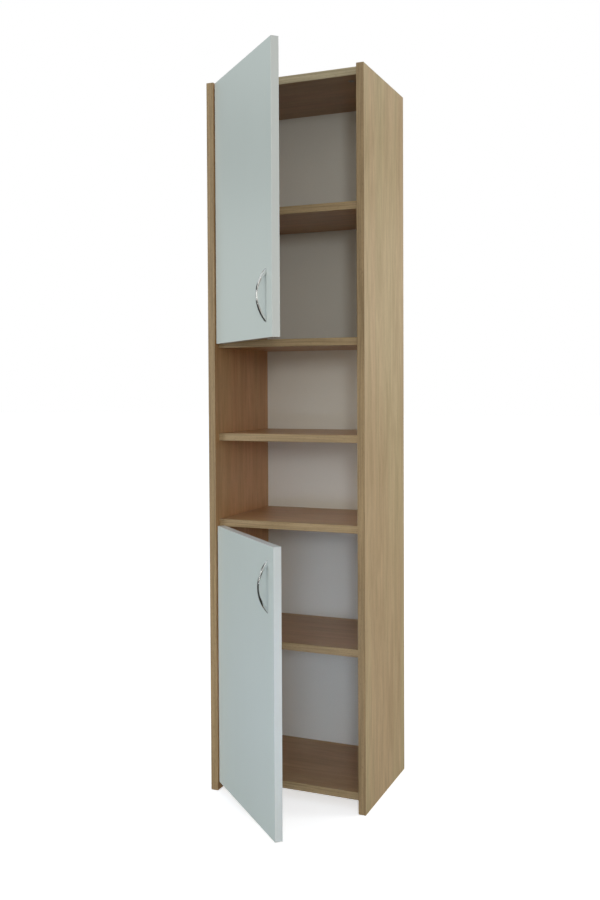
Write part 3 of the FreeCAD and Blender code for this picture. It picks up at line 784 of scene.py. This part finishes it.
class CABINET_OT_band_edges(bpy.types.Operator):
    """Glues rounded banding to the front edges of the boards and the tops of the sides"""

    bl_idname = "cabinet.band_edges"
    bl_label = "Band edges"

    def execute(self, context):
        sizes = context.scene.cabinet_sizes
        for i, side in enumerate(SIDES):
            node = f"{side}_edge_band"
            low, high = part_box(node)
            shape = bmesh.new()
            strip_high = (high.x, low.y + sizes.band, high.z)
            add_band(shape, low, strip_high, -Y, sizes.band_round)
            strip_low = (low.x, low.y + sizes.band, high.z - sizes.band)
            add_band(shape, strip_low, high, Z, sizes.band_round)
            at = print_start(SIDE_EDGE_PRINT, i)
            material = oak_band(context, f"{side}_band_oak", "Z", at, SIDE_EDGE_TINT)
            new_piece(shape, f"{side}_banding", "carcass", [node], material)
        for i, name in enumerate(FIXED_BOARDS + LOOSE_SHELVES):
            node = f"{name}_edge_band"
            shape = bmesh.new()
            add_band(shape, *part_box(node), -Y, sizes.band_round)
            at = print_start(BOARD_EDGE_PRINT, i)
            # The top panel's banding gets a painted sheen, paler and greener
            tint = TOP_PANEL_EDGE_PAINTED_SHEEN if name == "top_panel" else BOARD_EDGE_TINT
            material = oak_band(context, f"{name}_band_oak", "X", at, tint)
            new_piece(shape, f"{name}_banding", "carcass", [node], material)
        return {"FINISHED"}


class CABINET_OT_face_doors(bpy.types.Operator):
    """Faces the doors with gloss film and bands their four edges"""

    bl_idname = "cabinet.face_doors"
    bl_label = "Face doors"

    def execute(self, context):
        sizes = context.scene.cabinet_sizes
        width, thick, band = sizes.door_width, sizes.door_thickness, sizes.band
        for door in DOORS:
            paint(NODES[f"{door}_door_board"], door_gloss(context, f"{door}_gloss", door))
            node = f"{door}_door_edge_band"
            low, high = (corner.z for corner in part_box(node))
            shape = bmesh.new()
            strips = (
                ((0, 0, low), (band, thick, high), -X),
                ((width - band, 0, low), (width, thick, high), X),
                ((band, 0, low), (width - band, thick, low + band), -Z),
                ((band, 0, high - band), (width - band, thick, high), Z),
            )
            for strip_low, strip_high, outward in strips:
                add_band(shape, strip_low, strip_high, outward, sizes.band_round)
            bmesh.ops.transform(shape, matrix=door_place(context, door), verts=shape.verts)
            material = door_banding(context, f"{door}_band_gloss")
            new_piece(
                shape, f"{door}_door_banding", f"{door}_door", [node], material
            )
        return {"FINISHED"}


class CABINET_OT_bend_handles(bpy.types.Operator):
    """Bends a chrome bow handle for each door"""

    bl_idname = "cabinet.bend_handles"
    bl_label = "Bend handles"

    def execute(self, context):
        sizes = context.scene.cabinet_sizes
        material = metal(context, "handle_chrome", "chrome", roughness=0.06)
        for door in DOORS:
            node = f"{door}_handle"
            level = sum(corner.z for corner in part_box(node)) / 2
            shape = bmesh.new()
            outer = self.arc(shape, sizes.handle_length, sizes.handle_height)
            inner = self.arc(shape, sizes.handle_inner_length, sizes.handle_inner_height)
            strip = bmesh.ops.bridge_loops(shape, edges=outer + inner)["faces"]
            bmesh.ops.translate(shape, vec=(-sizes.handle_width / 2, 0, 0), verts=shape.verts)
            grown = bmesh.ops.extrude_face_region(shape, geom=strip, use_keep_orig=True)["geom"]
            far = [item for item in grown if isinstance(item, bmesh.types.BMVert)]
            bmesh.ops.translate(shape, vec=(sizes.handle_width, 0, 0), verts=far)
            bmesh.ops.recalc_face_normals(shape, faces=shape.faces)
            rims = [edge for edge in shape.edges if self.is_rim(edge)]
            round_edges(shape, rims, sizes.handle_round, segments=4)
            place = Matrix.Translation((sizes.door_width - HANDLE_FROM_EDGE, 0, level))
            matrix = door_place(context, door) @ place
            bmesh.ops.transform(shape, matrix=matrix, verts=shape.verts)
            piece = new_piece(
                shape,
                f"{door}_bow_handle",
                f"{door}_door",
                [node],
                material,
                soft=True,
            )
            piece.modifiers.new("Even shading", "WEIGHTED_NORMAL")
        return {"FINISHED"}

    @staticmethod
    def arc(shape, chord, rise):
        """An upright arc that bulges to -Y, spun from its lower end."""
        half = chord / 2
        radius = (half**2 + rise**2) / (2 * rise)
        start = shape.verts.new((0, 0, -half))
        before = set(shape.edges)
        bmesh.ops.spin(
            shape,
            geom=[start],
            cent=(0, radius - rise, 0),
            axis=X,
            angle=-2 * math.asin(half / radius),
            steps=BOW_STEPS,
            use_merge=False,
        )
        return [edge for edge in shape.edges if edge not in before]

    @staticmethod
    def is_rim(edge):
        """Whether an edge runs along the bow, between its side and its face."""
        aside = [abs(face.normal.x) > 0.9 for face in edge.link_faces]
        on_door = all(abs(corner.co.y) < WELD for corner in edge.verts)
        return len(aside) == 2 and aside[0] != aside[1] and not on_door


class CABINET_OT_drive_screws(bpy.types.Operator):
    """Drives the screws of the handles, the hinge cups, the hinge plates and the arms"""

    bl_idname = "cabinet.drive_screws"
    bl_label = "Drive screws"

    def execute(self, context):
        sizes = context.scene.cabinet_sizes
        material = metal(context, "screw_nickel", "nickel", roughness=0.26, brushed=0.1)
        panel_low, panel_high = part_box("left_side_panel")
        front = panel_low.y - sizes.band
        rear = sizes.door_thickness
        grip = sizes.door_width - HANDLE_FROM_EDGE
        reach = sizes.recess / 2
        for door in DOORS:
            levels = hinge_levels(door)
            to_door = door_place(context, door)
            middle = sum(corner.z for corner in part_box(f"{door}_handle")) / 2

            def on_door(u, v, z):
                return to_door @ Matrix.Translation((u, v, z)) @ OUT_OF_DOOR

            def on_side(rise, depth, z):
                return Matrix.Translation((panel_high.x + rise, front + depth, z)) @ OFF_SIDE

            sets = (
                (
                    "handle_screws",
                    f"{door}_door",
                    screw(**HANDLE_SCREW, reach=reach * HANDLE_RECESS),
                    [
                        on_door(grip, rear, middle + z)
                        for z in (-HANDLE_SCREW_OFFSET, HANDLE_SCREW_OFFSET)
                    ],
                ),
                (
                    "hinge_cup_screws",
                    f"{door}_door",
                    screw(**CUP_SCREW, reach=reach),
                    [
                        on_door(CUP_SCREW_FROM_HINGE_EDGE, rear + CUP_SCREW_RISE, level + z)
                        for level in levels
                        for z in (-CUP_SCREW_OFFSET, CUP_SCREW_OFFSET)
                    ],
                ),
                (
                    "hinge_plate_screws",
                    "carcass",
                    screw(**PLATE_SCREW, reach=reach, sunk=True),
                    [
                        on_side(PLATE_SCREW_RISE, PLATE_SCREW_DEPTH, level + z)
                        for level in levels
                        for z in (-PLATE_SCREW_OFFSET, PLATE_SCREW_OFFSET)
                    ],
                ),
                (
                    "hinge_arm_screws",
                    "carcass",
                    screw(**ARM_SCREW, reach=reach * ARM_SLOT, cross=False),
                    [
                        on_side(ARM_SCREW_RISE, depth, level)
                        for level in levels
                        for depth in ARM_SCREW_DEPTHS
                    ],
                ),
            )
            for kind, body, unit, places in sets:
                new_piece(
                    repeated(unit, places),
                    f"{door}_{kind}_driven",
                    body,
                    [f"{door}_{kind}"],
                    material,
                )
        return {"FINISHED"}


class CABINET_OT_hang_hinges(bpy.types.Operator):
    """Finishes the concealed hinges: plates, arms, cups, links and their rivets"""

    bl_idname = "cabinet.hang_hinges"
    bl_label = "Hang hinges"

    def execute(self, context):
        sizes = context.scene.cabinet_sizes
        pressed = metal(context, "pressed_nickel", "nickel", roughness=0.24, brushed=0.12)
        cast = metal(context, "cast_nickel", "nickel", roughness=0.34, brushed=0.2)
        rivets = metal(context, "rivet_steel", "nickel", roughness=0.20, brushed=0.05)
        for door in DOORS:
            kinds = (
                ("hinge_plates", "carcass", cast),
                ("hinge_arms", "carcass", pressed),
                ("hinge_arm_pins", "carcass", rivets),
                ("hinge_cups", f"{door}_door", pressed),
                ("hinge_cup_pins", f"{door}_door", rivets),
                ("hinge_outer_links", f"{door}_outer_links", pressed),
                ("hinge_inner_links", f"{door}_inner_links", pressed),
            )
            for kind, body, material in kinds:
                node = f"{door}_{kind}"
                merged_copy(
                    node, f"{node}_finished", body, material, sizes.metal_round
                )
        return {"FINISHED"}


class CABINET_OT_fit_back(bpy.types.Operator):
    """Finishes the back panel and its nails"""

    bl_idname = "cabinet.fit_back"
    bl_label = "Fit back"

    def execute(self, context):
        _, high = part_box("back_panel")
        paint(NODES["back_panel"], back_lacquer(context, "back_lacquer", high.y))
        steel = metal(context, "nail_steel", "nickel", roughness=0.32, brushed=0.2)
        paint(NODES["back_panel_nails"], steel)
        return {"FINISHED"}


class CABINET_OT_fit_fixtures(bpy.types.Operator):
    """Finishes the cam locks, bolts and dowels, the shelf pins and the door bumpers"""

    bl_idname = "cabinet.fit_fixtures"
    bl_label = "Fit fixtures"

    def execute(self, context):
        sizes = context.scene.cabinet_sizes
        zinc = metal(context, "cam_zinc", "zinc", roughness=0.42, brushed=0.2)
        steel = metal(context, "fixture_steel", "nickel", roughness=0.28, brushed=0.1)
        radius = sizes.metal_round
        merged_copy("cam_locks", "cams_finished", "carcass", zinc, radius)
        paint(NODES["cam_bolts"], steel)
        paint(NODES["wooden_dowels"], beech(context, "dowel_beech"))
        for shelf in LOOSE_SHELVES:
            node = f"{shelf}_pins"
            merged_copy(node, f"{node}_finished", "carcass", steel, radius)
        rubber = clear_rubber(context, "bumper_clear")
        across = sizes.door_width - BUMPER_INSET
        for door in DOORS:
            node = f"{door}_door_bumpers"
            low, high = (corner.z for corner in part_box(node))
            unit = bmesh.new()
            bmesh.ops.create_cone(
                unit,
                cap_ends=True,
                segments=BUMPER_SEGMENTS,
                radius1=BUMPER_RADIUS,
                radius2=BUMPER_RADIUS,
                depth=BUMPER_RISE,
                matrix=Matrix.Translation((0, 0, BUMPER_RISE / 2)),
            )
            top = [
                edge
                for edge in unit.edges
                if all(corner.co.z > BUMPER_RISE / 2 for corner in edge.verts)
            ]
            round_edges(unit, top, BUMPER_DOME * BUMPER_RISE, segments=4)
            places = [
                door_place(context, door)
                @ Matrix.Translation((across, sizes.door_thickness, z))
                @ OUT_OF_DOOR
                for z in (low + BUMPER_RADIUS, high - BUMPER_RADIUS)
            ]
            new_piece(
                repeated(unit, places),
                f"{door}_bumper_domes",
                f"{door}_door",
                [node],
                rubber,
                soft=True,
            )
        return {"FINISHED"}


class CABINET_OT_set_stage(bpy.types.Operator):
    """Sets the pale floor, the soft lights and the camera"""

    bl_idname = "cabinet.set_stage"
    bl_label = "Set stage"

    def execute(self, context):
        stage = context.scene.cabinet_stage
        self.lay_floor(context)
        self.light_sky(context, stage)
        self.place_lamps(context)
        self.aim_camera(context, stage)
        context.scene.view_settings.view_transform = "Standard"
        return {"FINISHED"}

    @staticmethod
    def lay_floor(context):
        """A pale floor that glows a little, so that it stays near white."""
        shape = bmesh.new()
        bmesh.ops.create_grid(shape, x_segments=1, y_segments=1, size=FLOOR_HALF)
        mesh = bpy.data.meshes.new("studio_floor")
        shape.to_mesh(mesh)
        shape.free()
        floor = bpy.data.objects.new("studio_floor", mesh)
        context.scene.collection.objects.link(floor)
        finish = Finish("studio_floor")
        (tone,) = colours(context, "floor")
        drift = finish.noise((0.7, 0.7, 0.7), detail=1.0, roughness=0.4)
        material = finish.shade(
            finish.mix(drift, tone, scaled(tone, 0.99)),
            Roughness=0.9,
            Emission_Color=(1, 1, 1, 1),
            Emission_Strength=FLOOR_GLOW,
        )
        paint(floor, material)
        floor.visible_diffuse = False
        floor.visible_glossy = False

    @staticmethod
    def light_sky(context, stage):
        """The soft light from all round. It is white to the camera, and glossy surfaces
        mirror a strip above the horizon and a bright upper sky instead."""
        sky = Finish("studio", "worlds", "Generated")
        lit_from = 0.4 + sky.z.rising(-0.3, 0.15) * 0.72
        strip = sky.z.rising(-0.04, 0.02) * sky.z.falling(0.15, 0.21)
        mirrored = 0.12 + strip * 1.3 + sky.z.rising(0.25, 0.31) * 1.4
        glossy = sky.node("ShaderNodeLightPath", {}, {}, "Is Glossy Ray")
        above = lit_from + glossy * (mirrored - lit_from)
        lit = sky.node("ShaderNodeBackground", {}, {"Strength": 0.0})
        for axis, (low, high) in SKY.items():
            toward = getattr(sky, axis)
            side = sky.mix(toward.rising(-0.001, 0.001), low, high)
            strength = toward * toward * above * stage.ambient
            lobe = sky.node("ShaderNodeBackground", {}, {"Color": side, "Strength": strength})
            lit = sky.node("ShaderNodeAddShader", {}, {0: lit, 1: lobe})
        white = sky.node("ShaderNodeBackground", {}, {"Color": (1, 1, 1, 1), "Strength": 1.0})
        to_camera = sky.node("ShaderNodeLightPath", {}, {}, "Is Camera Ray")
        seen = sky.node("ShaderNodeMixShader", {}, {0: to_camera, 1: lit, 2: white})
        context.scene.world = sky.end(seen, "ShaderNodeOutputWorld")

    @staticmethod
    def place_lamps(context):
        for name, lamp in LAMPS.items():
            source = bpy.data.lights.new(name, "AREA")
            source.shape = "RECTANGLE"
            source.size, source.size_y = lamp["size"]
            source.spread = math.radians(lamp["spread"])
            source.energy = lamp["power"]
            source.color = lamp["colour"]
            light = bpy.data.objects.new(name, source)
            light.visible_glossy = lamp["mirrored"]
            context.scene.collection.objects.link(light)
            toward = Vector(lamp["aim"]) - Vector(lamp["place"])
            turn = toward.to_track_quat("-Z", "Y").to_matrix().to_4x4()
            light.matrix_world = Matrix.Translation(lamp["place"]) @ turn

    @staticmethod
    def aim_camera(context, stage):
        """The frame is upright, so its height takes the sensor's width."""
        view = bpy.data.cameras.new("studio_camera")
        width, height = VIEW_SIZE
        view.lens = stage.focal_pixels * SENSOR / height
        view.sensor_width = SENSOR
        view.shift_x = (width / 2 - stage.centre_pixels[0]) / height
        view.shift_y = (stage.centre_pixels[1] - height / 2) / height
        view.clip_end = VIEW_REACH
        camera = bpy.data.objects.new("studio_camera", view)
        context.scene.collection.objects.link(camera)
        tilt, roll, turn = stage.camera_turn
        camera.matrix_world = (
            Matrix.Translation(stage.camera_place)
            @ Matrix.Rotation(turn, 4, "Z")
            @ Matrix.Rotation(math.radians(90) + tilt, 4, "X")
            @ Matrix.Rotation(roll, 4, "Z")
        )
        context.scene.camera = camera


class CABINET_PT_panel(bpy.types.Panel):
    """Lists the cabinet's sizes, colours and steps in the sidebar"""

    bl_idname = "CABINET_PT_panel"
    bl_label = "Tall bathroom cabinet"
    bl_space_type = "VIEW_3D"
    bl_region_type = "UI"
    bl_category = "Cabinet"

    def draw(self, context):
        scene, layout = context.scene, self.layout
        for group in (scene.cabinet_sizes, scene.cabinet_colours, scene.cabinet_stage):
            box = layout.box()
            for name in group.__annotations__:
                box.prop(group, name)
        for step in STEPS:
            layout.operator(step.bl_idname)


GROUPS = {
    "cabinet_sizes": CabinetSizes,
    "cabinet_colours": CabinetColours,
    "cabinet_stage": CabinetStage,
}
STEPS = (
    CABINET_OT_finish_boards,
    CABINET_OT_band_edges,
    CABINET_OT_face_doors,
    CABINET_OT_bend_handles,
    CABINET_OT_drive_screws,
    CABINET_OT_hang_hinges,
    CABINET_OT_fit_back,
    CABINET_OT_fit_fixtures,
    CABINET_OT_set_stage,
)


def register():
    for cls in (*GROUPS.values(), *STEPS, CABINET_PT_panel):
        bpy.utils.register_class(cls)
    for name, group in GROUPS.items():
        setattr(bpy.types.Scene, name, bpy.props.PointerProperty(type=group))


def unregister():
    for name in GROUPS:
        delattr(bpy.types.Scene, name)
    for cls in reversed((*GROUPS.values(), *STEPS, CABINET_PT_panel)):
        bpy.utils.unregister_class(cls)


def main():
    register()
    for step in STEPS:
        group, name = step.bl_idname.split(".")
        result = getattr(getattr(bpy.ops, group), name)()
        if result != {"FINISHED"}:
            raise RuntimeError(f"{step.bl_label} did not finish")


if __name__ == "__main__":
    main()
